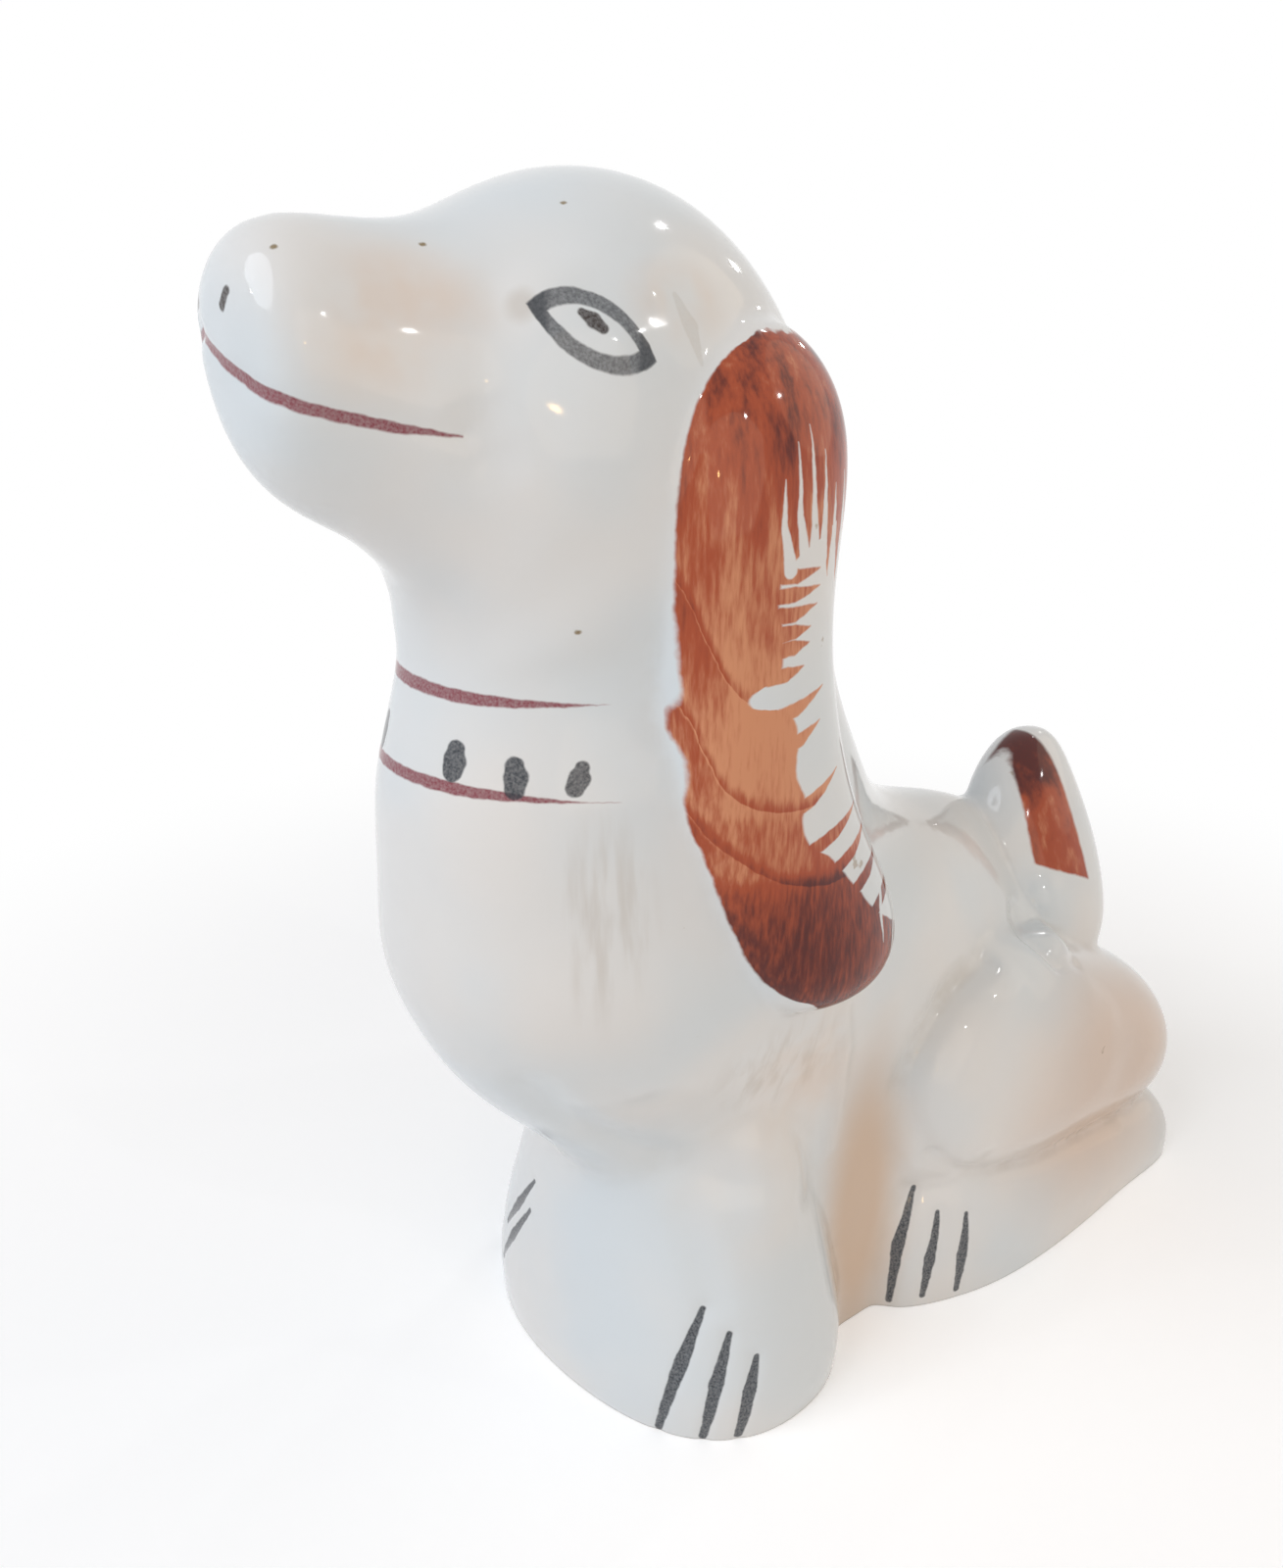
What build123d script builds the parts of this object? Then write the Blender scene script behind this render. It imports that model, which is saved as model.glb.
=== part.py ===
"""Seated spaniel mantel figure in glazed earthenware, as a potter puts it together.

Two hollow pressed halves meet on the middle plane and stand on a flat base slab.
The ears, the tail, the forelegs and the hind feet are pressed by themselves and
luted onto the halves, so each of them ends in a face that fits the body's skin.

Frame: +Z up, nose towards -Y, the dog's left side on +X, millimetres. The figure is
laid out with y = 0 at the front of the base and then moved so that the origin is on
the ground, in the middle of its length and width.
"""

import os
from dataclasses import dataclass
from math import copysign, cos, hypot, pi, sin

from build123d import *

# Overall sizes
FIGURE_HEIGHT = 165.0
BASE_LENGTH = 121.0
NOSE_REACH = 34.3

# Head: heights are taken from the crown, lengths from the nose tip
BRIDGE_DROP = 5.2
MUZZLE_LENGTH = 24.0
MUZZLE_DEPTH = 29.0
MUZZLE_WIDTH = 25.0
NOSE_WIDTH = 17.0
SKULL_LENGTH = 46.0
SKULL_WIDTH = 45.0

# Neck and chest
THROAT_SETBACK = 16.0
NECK_WIDTH = 44.0
NECK_DEPTH = 60.0
CHEST_HEIGHT = 88.0
CHEST_OVERHANG = 20.5
CHEST_WIDTH = 55.0

# Trunk
BACK_HEIGHT = 70.0
TRUNK_WIDTH = 47.0
WAIST_HEIGHT = 42.0
BACK_TAPER = 0.6

# Haunches
HAUNCH_LENGTH = 76.0
HAUNCH_HEIGHT = 60.0
HAUNCH_WIDTH = 35.0
HAUNCH_SPREAD = 16.5

# Ears
EAR_LENGTH = 83.0
EAR_WIDTH = 26.0
EAR_THICKNESS = 16.0
EAR_TOP_DROP = 15.0
EAR_SWEEP = 12.5

# Forelegs: the stance is the breadth over both paws
STANCE_WIDTH = 61.0
PAW_LENGTH = 44.0
PAW_HEIGHT = 18.0
FORELEG_WIDTH = 22.0
FORELEG_SPREAD = 15.5
FOOT_SETBACK = 6.0

# Hind feet
HIND_FOOT_LENGTH = 74.0
HIND_FOOT_WIDTH = 27.0
HIND_FOOT_HEIGHT = 24.0
HIND_FOOT_SPREAD = 21.5

# Tail
TAIL_HEIGHT = 79.0
TAIL_WIDTH = 20.0
TAIL_LENGTH = 32.0
TAIL_OFFSET = 12.0
TAIL_SETBACK = 17.0

# Clay
WALL = 4.5
SLAB_THICKNESS = 5.0
VENT_DIAMETER = 8.0

# Lofting: points round a section, the one where each outline starts, how boxy the
# sections are, and which ribs the hollow inside follows
SECTION_POINTS = 20
SEAM_POINT = SECTION_POINTS // 4 - 1
TRUNK_SQUARENESS = 2.2
BASE_SQUARENESS = 2.8
FOOT_SQUARENESS = 2.4
HOLLOW_TORSO_RIBS = slice(4, None)
HOLLOW_HAUNCH_RIBS = slice(2, -2)


@dataclass(frozen=True)
class Rib:
    """One cross-section of a lofted form, set by its two ends on its own middle plane.

    front and back are (y, z) points, half_width is the half breadth across x, centre_x
    is where that middle plane stands, squareness is the superellipse exponent: 2 is an
    ellipse and more is boxier, and taper is the share by which the back end is narrowed.
    """

    front: tuple[float, float]
    back: tuple[float, float]
    half_width: float
    centre_x: float = 0.0
    squareness: float = 2.0
    taper: float = 0.0

    def inset(self, wall: float) -> "Rib":
        """The same rib moved inwards by the wall on every side."""
        (fy, fz), (by, bz) = self.front, self.back
        length = hypot(by - fy, bz - fz)
        in_y, in_z = (by - fy) / length * wall, (bz - fz) / length * wall
        return Rib(
            (fy + in_y, fz + in_z),
            (by - in_y, bz - in_z),
            self.half_width - wall,
            self.centre_x,
            self.squareness,
            self.taper,
        )

    def wire(self) -> Wire:
        """The closed outline of the rib."""
        (fy, fz), (by, bz) = self.front, self.back
        points = []
        for step in range(SECTION_POINTS):
            turn = 2 * pi * (step + SEAM_POINT) / SECTION_POINTS
            across = copysign(abs(cos(turn)) ** (2 / self.squareness), cos(turn))
            along = copysign(abs(sin(turn)) ** (2 / self.squareness), sin(turn))
            share = (1 + along) / 2
            breadth = self.half_width * (1 - self.taper * share**2)
            points.append(
                (
                    self.centre_x + breadth * across,
                    fy + (by - fy) * share,
                    fz + (bz - fz) * share,
                )
            )
        return Wire([Edge.make_spline(points, periodic=True)])


def level_rib(z: float, x: float, y: float, width: float, length: float, squareness: float = 2.0) -> Rib:
    """A rib that lies level at height z, centred on (x, y)."""
    return Rib((y - length / 2, z), (y + length / 2, z), width / 2, x, squareness)


def loft_ribs(ribs: list[Rib]) -> Solid:
    """A smooth solid through the ribs."""
    return Solid.make_loft([rib.wire() for rib in ribs])


def torso_ribs() -> list[Rib]:
    """Ribs from the nose tip, over the head and down the neck to below the ground."""
    bridge = FIGURE_HEIGHT - BRIDGE_DROP
    chin = bridge - MUZZLE_DEPTH
    nose = -NOSE_REACH
    stop = nose + MUZZLE_LENGTH
    throat = -THROAT_SETBACK
    nape = throat + NECK_DEPTH
    chest = -CHEST_OVERHANG
    skull = SKULL_LENGTH
    deep = MUZZLE_DEPTH
    neck_rise = chin - CHEST_HEIGHT

    head = [
        Rib((nose, bridge - 0.46 * deep), (nose, bridge - 0.28 * deep), 0.17 * NOSE_WIDTH),
        Rib((nose + 0.03 * MUZZLE_LENGTH, bridge - 0.62 * deep),
            (nose + 0.04 * MUZZLE_LENGTH, bridge - 0.11 * deep), 0.41 * NOSE_WIDTH),
        Rib((nose + 0.09 * MUZZLE_LENGTH, bridge - 0.79 * deep),
            (nose + 0.16 * MUZZLE_LENGTH, bridge - 0.015 * deep), 0.56 * NOSE_WIDTH),
        Rib((nose + 0.27 * MUZZLE_LENGTH, chin + 0.05 * deep),
            (nose + 0.40 * MUZZLE_LENGTH, bridge + 0.01 * deep), 0.44 * MUZZLE_WIDTH),
        Rib((nose + 0.52 * MUZZLE_LENGTH, chin - 0.08 * deep),
            (nose + 0.75 * MUZZLE_LENGTH, bridge), 0.53 * MUZZLE_WIDTH),
        Rib((throat - 0.02 * skull, chin - 0.24 * deep),
            (stop + 0.02 * skull, bridge + 0.27 * BRIDGE_DROP), 0.37 * SKULL_WIDTH),
        Rib((throat + 0.02 * skull, chin - 0.36 * deep),
            (stop + 0.28 * skull, FIGURE_HEIGHT), 0.455 * SKULL_WIDTH),
        Rib((throat + 0.03 * skull, chin - 0.47 * deep),
            (stop + 0.70 * skull, FIGURE_HEIGHT - 0.7 * BRIDGE_DROP), 0.51 * SKULL_WIDTH),
        Rib((throat + 0.02 * skull, chin - 0.60 * deep),
            (stop + skull, FIGURE_HEIGHT - 3.6 * BRIDGE_DROP), 0.52 * SKULL_WIDTH),
    ]
    neck = [
        Rib((throat, CHEST_HEIGHT + 0.53 * neck_rise),
            (nape, CHEST_HEIGHT + 0.83 * neck_rise), 0.5 * NECK_WIDTH),
        Rib((throat - 0.04 * NECK_DEPTH, CHEST_HEIGHT + 0.36 * neck_rise),
            (nape + 0.02 * NECK_DEPTH, CHEST_HEIGHT + 0.44 * neck_rise), 0.51 * NECK_WIDTH),
    ]
    chest_and_trunk = [
        Rib((chest + 0.03 * CHEST_OVERHANG, 1.1 * CHEST_HEIGHT),
            (nape + 0.12 * NECK_DEPTH, CHEST_HEIGHT + 0.1 * neck_rise), 0.44 * CHEST_WIDTH),
        Rib((chest, 0.96 * CHEST_HEIGHT),
            (nape + 0.36 * NECK_DEPTH, 1.12 * BACK_HEIGHT), 0.49 * CHEST_WIDTH, taper=0.6 * BACK_TAPER),
        Rib((0.95 * chest, 0.82 * CHEST_HEIGHT),
            (0.72 * BASE_LENGTH, 1.01 * BACK_HEIGHT), 0.53 * CHEST_WIDTH,
            squareness=TRUNK_SQUARENESS, taper=BACK_TAPER),
        Rib((0.66 * chest, 0.66 * CHEST_HEIGHT),
            (0.85 * BASE_LENGTH, 0.86 * BACK_HEIGHT), 0.57 * TRUNK_WIDTH,
            squareness=TRUNK_SQUARENESS, taper=0.75 * BACK_TAPER),
        Rib((0.22 * chest, 1.12 * WAIST_HEIGHT),
            (0.95 * BASE_LENGTH, 1.08 * WAIST_HEIGHT), 0.5 * TRUNK_WIDTH, squareness=TRUNK_SQUARENESS),
    ]
    foot_middle = (FOOT_SETBACK + BASE_LENGTH) / 2
    foot_length = BASE_LENGTH - FOOT_SETBACK
    foot = [
        level_rib(up * WAIST_HEIGHT, 0.0, foot_middle, TRUNK_WIDTH, foot_length * (1 - 0.02 * up), BASE_SQUARENESS)
        for up in (0.72, 0.36, 0.0, -0.36)
    ]
    return head + neck + chest_and_trunk + foot


def above(shape: Solid, height: float = 0.0) -> Solid:
    """The part of a shape that lies above a level."""
    return split(shape, bisect_by=Plane.XY.offset(height), keep=Keep.TOP)


def below(shape: Solid, height: float) -> Solid:
    """The part of a shape that lies below a level."""
    return split(shape, bisect_by=Plane.XY.offset(height), keep=Keep.BOTTOM)


def left_half(shape: Solid) -> Solid:
    """The part of a shape on the dog's left of the middle plane."""
    return split(shape, bisect_by=Plane.YZ, keep=Keep.TOP)


def mirrored(shape: Solid) -> Solid:
    """The same shape on the other side of the middle plane."""
    return mirror(shape, about=Plane.YZ)


def haunch_ribs() -> list[Rib]:
    """Ribs of the left thigh, from the knee back to the rump, standing proud of the flank."""
    knee = BASE_LENGTH - HAUNCH_LENGTH
    # shares of the length from the knee, of the width, and of the height to the low and high side
    stations = [
        (0.00, 0.20, 0.50, 0.70),
        (0.04, 0.50, 0.37, 0.80),
        (0.15, 0.78, 0.25, 0.90),
        (0.32, 0.95, 0.17, 0.95),
        (0.52, 1.00, 0.12, 0.89),
        (0.72, 1.00, 0.11, 0.76),
        (0.88, 0.96, 0.11, 0.66),
        (0.97, 0.80, 0.14, 0.58),
        (1.00, 0.50, 0.24, 0.48),
    ]
    return [
        Rib(
            (knee + along * HAUNCH_LENGTH, low * HAUNCH_HEIGHT),
            (knee + along * HAUNCH_LENGTH, high * HAUNCH_HEIGHT),
            0.5 * wide * HAUNCH_WIDTH,
            HAUNCH_SPREAD,
        )
        for along, wide, low, high in stations
    ]


def ear() -> Solid:
    """The left ear, a long lobe that hangs from the skull and sweeps back at its tip."""
    top = FIGURE_HEIGHT - EAR_TOP_DROP
    root = -NOSE_REACH + MUZZLE_LENGTH + 0.53 * SKULL_LENGTH
    half_skull, half_neck, half_chest = SKULL_WIDTH / 2, NECK_WIDTH / 2, CHEST_WIDTH / 2
    # share of the length from the top, distance from the middle plane, then shares of the
    # sweep, of the width and of the thickness
    stations = [
        (0.00, 0.80 * half_skull, 0.12, 0.36, 0.38),
        (0.04, 0.82 * half_skull, 0.12, 0.72, 0.74),
        (0.13, 0.89 * half_skull, 0.10, 0.97, 0.98),
        (0.30, 0.94 * half_skull, 0.02, 0.98, 0.96),
        (0.50, 1.00 * half_neck, 0.06, 0.94, 0.92),
        (0.70, 1.04 * half_neck, 0.38, 1.00, 0.92),
        (0.86, 0.88 * half_chest, 0.82, 1.06, 0.90),
        (0.96, 0.92 * half_chest, 1.00, 0.88, 0.74),
        (1.00, 0.93 * half_chest, 1.02, 0.50, 0.40),
    ]
    ribs = [
        level_rib(
            top - drop * EAR_LENGTH, x, root + back * EAR_SWEEP, thick * EAR_THICKNESS, wide * EAR_WIDTH
        )
        for drop, x, back, wide, thick in stations
    ]
    return loft_ribs(ribs)


def foreleg() -> Solid:
    """The left foreleg, a column that runs down into the flared paw it shares with the right one."""
    middle = PAW_LENGTH / 2
    # shares of the paw's height, of the stance and of the paw's length
    flare = [
        (-0.3, 0.94, 0.97),
        (0.0, 0.98, 0.99),
        (0.2, 1.00, 1.00),
        (0.55, 0.98, 0.98),
        (1.0, 0.92, 0.93),
        (1.45, 0.85, 0.88),
        (1.9, 0.78, 0.82),
        (2.3, 0.71, 0.76),
        (2.7, 0.64, 0.70),
    ]
    # shares of the paw's height, of the spread from the middle plane and of the leg's width
    column = [
        (0.0, 1.00, 1.00),
        (0.5, 1.00, 1.00),
        (1.0, 1.00, 0.97),
        (1.5, 0.98, 0.95),
        (2.0, 0.94, 0.92),
        (2.5, 0.82, 0.84),
        (2.9, 0.66, 0.72),
    ]
    paws = loft_ribs([
        level_rib(up * PAW_HEIGHT, 0.0, middle, wide * STANCE_WIDTH, long * PAW_LENGTH, TRUNK_SQUARENESS)
        for up, wide, long in flare
    ])
    leg = loft_ribs([
        level_rib(up * PAW_HEIGHT, out * FORELEG_SPREAD, middle, wide * FORELEG_WIDTH, wide * FORELEG_WIDTH)
        for up, out, wide in column
    ])
    return left_half(above(paws + leg))


def hind_foot() -> Solid:
    """The left hind foot, a long pad that is high at the toes and lower at the heel."""
    toe = BASE_LENGTH - HIND_FOOT_LENGTH
    # shares of the length from the toes, of the width and of the height
    stations = [
        (0.00, 0.20, 0.50),
        (0.03, 0.40, 0.72),
        (0.10, 0.62, 0.92),
        (0.20, 0.82, 1.00),
        (0.35, 0.97, 0.96),
        (0.60, 1.00, 0.78),
        (0.85, 1.00, 0.60),
        (0.96, 0.94, 0.52),
        (1.00, 0.72, 0.38),
    ]
    ribs = [
        Rib(
            (toe + along * HIND_FOOT_LENGTH, -0.6 * tall * HIND_FOOT_HEIGHT),
            (toe + along * HIND_FOOT_LENGTH, tall * HIND_FOOT_HEIGHT),
            0.5 * wide * HIND_FOOT_WIDTH,
            HIND_FOOT_SPREAD,
            FOOT_SQUARENESS,
        )
        for along, wide, tall in stations
    ]
    return above(loft_ribs(ribs))


def tail() -> Solid:
    """The stub tail, which lies on the left of the rump and stands up over the back."""
    y = BASE_LENGTH - TAIL_SETBACK
    # shares of the height, of the offset, of the width and of the length, then the lean
    # as a share of the length
    stations = [
        (0.46, 1.00, 0.36, 0.24, 0.00),
        (0.49, 1.00, 0.66, 0.46, 0.00),
        (0.56, 0.98, 0.92, 0.68, -0.01),
        (0.67, 0.82, 1.00, 0.84, -0.04),
        (0.80, 0.52, 0.94, 0.86, -0.05),
        (0.92, 0.30, 0.70, 0.60, -0.01),
        (0.98, 0.22, 0.42, 0.34, 0.04),
        (1.00, 0.22, 0.14, 0.12, 0.05),
    ]
    ribs = [
        level_rib(
            up * TAIL_HEIGHT, out * TAIL_OFFSET, y + back * TAIL_LENGTH, wide * TAIL_WIDTH, long * TAIL_LENGTH
        )
        for up, out, wide, long, back in stations
    ]
    return loft_ribs(ribs)


def build() -> dict[str, Solid]:
    """Every node by name, with the origin on the ground in the middle of the figure."""
    left_torso = left_half(above(loft_ribs(torso_ribs())))
    left_body = left_half(left_torso + loft_ribs(haunch_ribs()))
    body = left_body + mirrored(left_body)

    hollow_trunk = loft_ribs([rib.inset(WALL) for rib in torso_ribs()[HOLLOW_TORSO_RIBS]])
    hollow_thigh = loft_ribs([rib.inset(WALL) for rib in haunch_ribs()[HOLLOW_HAUNCH_RIBS]])
    shell = above(left_body, SLAB_THICKNESS) - hollow_trunk - hollow_thigh

    left_slab = below(left_torso, SLAB_THICKNESS)
    vent = Solid.make_cylinder(VENT_DIAMETER / 2, SLAB_THICKNESS).moved(Location((0, BASE_LENGTH / 2, 0)))
    slab = left_slab + mirrored(left_slab) - vent

    left_ear = ear() - body
    nodes = {"base_slab": slab, "tail": tail() - body}
    left = {
        "body_shell": shell,
        "ear": left_ear,
        "foreleg": foreleg() - body - left_ear,
        "hind_foot": hind_foot() - body,
    }
    for name, shape in left.items():
        nodes[f"left_{name}"] = shape
        nodes[f"right_{name}"] = mirrored(shape)
    to_middle = Location((0, (NOSE_REACH - BASE_LENGTH) / 2, 0))
    return {name: shape.moved(to_middle) for name, shape in nodes.items()}


def main() -> None:
    """Write one STEP file for each node."""
    os.makedirs("parts", exist_ok=True)
    for name, shape in build().items():
        export_step(shape, f"parts/{name}.step")
        print(name, round(shape.volume), shape.bounding_box().size)


main()
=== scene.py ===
"""Seated spaniel mantel figure: glazed, hand-painted earthenware on a pale studio floor.

Sizes are millimetres in the frame of the solids: +Z up, nose towards -Y, the dog's left on +X.
"""

import logging
from dataclasses import dataclass, field
from enum import Enum
from math import radians

import bmesh
import bpy
import numpy as np
from mathutils import Euler, Matrix, Vector, noise
from mathutils.bvhtree import BVHTree


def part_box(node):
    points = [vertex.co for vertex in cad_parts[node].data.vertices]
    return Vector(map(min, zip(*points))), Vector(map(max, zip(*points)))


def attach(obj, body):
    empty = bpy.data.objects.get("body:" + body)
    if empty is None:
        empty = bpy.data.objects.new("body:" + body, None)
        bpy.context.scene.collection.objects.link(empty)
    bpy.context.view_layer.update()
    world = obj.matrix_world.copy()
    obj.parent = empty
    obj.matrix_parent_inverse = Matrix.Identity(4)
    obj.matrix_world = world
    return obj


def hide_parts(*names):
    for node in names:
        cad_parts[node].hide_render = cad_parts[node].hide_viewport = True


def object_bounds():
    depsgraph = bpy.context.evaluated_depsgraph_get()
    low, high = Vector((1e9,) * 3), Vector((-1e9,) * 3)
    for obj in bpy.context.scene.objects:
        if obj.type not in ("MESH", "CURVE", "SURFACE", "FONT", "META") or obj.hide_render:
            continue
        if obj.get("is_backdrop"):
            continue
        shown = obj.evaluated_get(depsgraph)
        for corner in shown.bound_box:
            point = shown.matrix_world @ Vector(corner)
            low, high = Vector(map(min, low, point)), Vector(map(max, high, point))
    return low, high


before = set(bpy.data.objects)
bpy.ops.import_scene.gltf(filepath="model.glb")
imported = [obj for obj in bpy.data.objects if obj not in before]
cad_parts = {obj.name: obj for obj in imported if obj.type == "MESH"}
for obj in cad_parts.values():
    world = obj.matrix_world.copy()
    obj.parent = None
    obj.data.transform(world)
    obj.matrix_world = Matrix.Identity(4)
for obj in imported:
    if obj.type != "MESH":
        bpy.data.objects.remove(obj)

MM = 0.001
WELD_MM = 0.002
FLAT_MM = 0.01
BODY = "root"
LOG = logging.getLogger("spaniel")

Point = tuple[float, float, float]
Socket = bpy.types.NodeSocket


def linear(hex_colour: str) -> tuple[float, float, float, float]:
    """Turn an sRGB hex colour into linear RGBA.

    Args:
        hex_colour: Six hex digits after a hash sign.

    Returns:
        The four linear channels, with alpha 1.
    """
    channels = [int(hex_colour[i:i + 2], 16) / 255 for i in (1, 3, 5)]
    flat = [c / 12.92 if c <= 0.04045 else ((c + 0.055) / 1.055) ** 2.4 for c in channels]
    return (*flat, 1.0)


def add(tree: bpy.types.NodeTree, kind: str, inputs: dict | None = None, out: int | str = 0,
        **settings: object) -> Socket:
    """Add a node with its settings and links.

    Args:
        tree: The node tree that takes the node.
        kind: The node's type name without the ShaderNode in front.
        inputs: Sockets to link, or values to set, by input name or index.
        out: The output to hand back.
        **settings: Attributes of the node itself.

    Returns:
        The chosen output socket.
    """
    made = tree.nodes.new("ShaderNode" + kind)
    for name, value in settings.items():
        setattr(made, name, value)
    for key, value in (inputs or {}).items():
        if isinstance(value, Socket):
            tree.links.new(value, made.inputs[key])
        else:
            made.inputs[key].default_value = value
    return made.outputs[out] if made.outputs else None


def maths(tree: bpy.types.NodeTree, operation: str, *values: object) -> Socket:
    """Work on numbers, which are sockets or values."""
    return add(tree, "Math", dict(enumerate(values)), operation=operation)


def vectors(tree: bpy.types.NodeTree, operation: str, *values: object) -> Socket:
    """Work on vectors, which are sockets or values; lengths and dot products come out as numbers."""
    out = 1 if operation in ("LENGTH", "DOT_PRODUCT") else 0
    return add(tree, "VectorMath", dict(enumerate(values)), out, operation=operation)


def new_material(name: str) -> bpy.types.Material:
    """A material with an empty node tree.

    Args:
        name: The material's name.

    Returns:
        The material.
    """
    mat = bpy.data.materials.new(name)
    mat.use_nodes = True
    mat.node_tree.nodes.clear()
    return mat


def poured(name: str, bm: bmesh.types.BMesh) -> bpy.types.Object:
    """Turn a bmesh, which is freed, into an object in the scene.

    Args:
        name: The object's name.
        bm: Its form.

    Returns:
        The object.
    """
    mesh = bpy.data.meshes.new(name)
    bm.to_mesh(mesh)
    bm.free()
    return placed(name, mesh)


def placed(name: str, data: bpy.types.ID) -> bpy.types.Object:
    """Put a mesh, a lamp or a camera into the scene.

    Args:
        name: The object's name.
        data: What it shows.

    Returns:
        The object.
    """
    made = bpy.data.objects.new(name, data)
    bpy.context.scene.collection.objects.link(made)
    return made


class Side(Enum):
    """Which side of the dog a mark or a form is on."""

    AS_PLACED = "as placed"
    BOTH = "both"


class Pigment(Enum):
    """Underglaze colours of the decorator's palette."""

    CHARCOAL = "#353A42"
    MAUVE = "#8C444E"
    UMBER = "#2E201B"
    RUST = "#96462A"
    BARE = "#E6DCCB"
    STAIN = "#8A7650"


@dataclass(frozen=True)
class BrushMark:
    """One touch of the brush: a line of points on the surface and its half-width at each."""

    points: tuple[Point, ...]
    widths: tuple[float, ...]
    pigment: Pigment = Pigment.CHARCOAL
    side: Side = Side.BOTH
    strength: float = 1.0


@dataclass(frozen=True)
class Relief:
    """A soft ridge or hollow that the modeller left in the clay."""

    line: tuple[Point, ...]
    radius: float
    height: float
    side: Side = Side.BOTH


@dataclass(frozen=True)
class GlazeFinish:
    """Clear lead glaze over a cream earthenware body, drifting at random between cream and cooler white, with
    painted light: warm reflections, a warm bounce on the rump and shade in the leg nook and the hollows.
    """

    cream: str = "#EAE9E7"
    cool: str = "#DFE6EA"
    # Painted warm reflection on the muzzle, brow and chest side.
    warm_reflection: str = "#E4CDB9"
    # Painted warm bounce light on the rump and haunch.
    flush: str = "#DDB898"
    # Painted warm shade in the recess behind the foreleg.
    tan: str = "#D2AC84"
    # Used for real stains, drips and pinholes, and for painted shade in hollows.
    stain_and_shade: str = "#A08A6C"
    ior: float = 1.5
    shine: float = 0.4
    smoothest: float = 0.04
    roughest: float = 0.11
    ripple_mm: float = 6.0
    ripple_depth_mm: float = 0.12
    ripple_strength: float = 0.5
    pinhole_mm: float = 7.0


@dataclass(frozen=True)
class RustFinish:
    """Iron-red wash laid on in overlapping see-through brush strokes."""

    light: str = "#D8936A"
    body: str = "#AC4A22"
    dark: str = "#581305"
    hair_mm: float = 0.55


@dataclass(frozen=True)
class ClayFinish:
    """Unglazed biscuit clay of the underside."""

    pale: str = "#DCCFBC"
    dark: str = "#BBA88D"
    grain_mm: float = 0.8
    roughness: float = 0.85


MOUTH_LEFT = ((-5.8, -76.9, 149.7), (-1.0, -77.8, 147.3), (3.8, -77.3, 145.4), (7.8, -75.8, 144.1),
              (10.2, -71.5, 142.6), (11.5, -66.7, 141.3), (14.1, -60.7, 140.3))
MOUTH_RIGHT = ((-5.8, -76.9, 149.7), (-9.0, -74.4, 146.6), (-10.8, -69.5, 143.0), (-14.1, -60.7, 140.3))

FORE_CLAWS = (((22.1, -34.0, 21.4), (21.0, -36.9, 13.0), (19.0, -39.6, 0.6)),
              ((25.1, -31.7, 17.8), (25.1, -33.9, 10.6), (24.4, -35.7, 0.6)),
              ((27.7, -28.7, 13.7), (28.0, -30.3, 8.7), (27.6, -31.7, 0.8)))
FAR_CLAWS = (((-9.4, -39.8, 26.9), (-14.0, -39.9, 20.0), (-18.6, -38.8, 13.2)),
             ((-9.8, -40.4, 21.6), (-14.6, -40.5, 14.0), (-19.4, -39.2, 5.6)),
             ((-22.6, -36.8, 12.0), (-24.6, -35.0, 6.4), (-25.6, -33.8, 1.2)))
HIND_CLAWS = (((24.1, 9.6, 20.6), (25.4, 5.3, 12.3), (25.3, 4.3, 1.3)),
              ((28.1, 11.3, 16.9), (28.8, 9.4, 9.3), (28.7, 8.7, 2.0)),
              ((30.5, 15.7, 15.6), (31.1, 14.6, 8.8), (31.1, 14.4, 1.6)))

# Painted warm reflected light: soft warm spots on the muzzle, brow and chest side, each a middle and radii.
WARM_REFLECTIONS = (((9.5, -65.0, 150.5), (9.0, 13.0, 9.5)), ((19.5, -38.0, 152.0), (7.0, 8.0, 6.0)),
           ((26.0, -16.0, 52.0), (9.0, 14.0, 18.0)))
TEAR_STAIN = ((14.8, -54.0, 152.0), (2.0, 2.4, 2.4))
# Painted warm bounce light on the rump and haunch: middle and radii.
RUMP_WARM_BOUNCE = ((32.0, 52.0, 28.0), (18.0, 38.0, 34.0))
# Painted warm shade in the recess between the foreleg and the body: middle and radii.
LEG_NOOK_SHADE = ((22.0, -2.0, 22.0), (12.0, 11.0, 42.0))
CHEST_DRIPS = (((19.5, -48.5, 86.0), (8.0, 8.0, 17.0)), ((24.5, -22.0, 56.0), (8.0, 16.0, 12.0)))

EAR_FACE = 26.0


def ear_line(*flat: tuple[float, float]) -> tuple[Point, ...]:
    """Points on the side of the ear from their place along the dog and their height."""
    return tuple((EAR_FACE, y, z) for y, z in flat)


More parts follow.
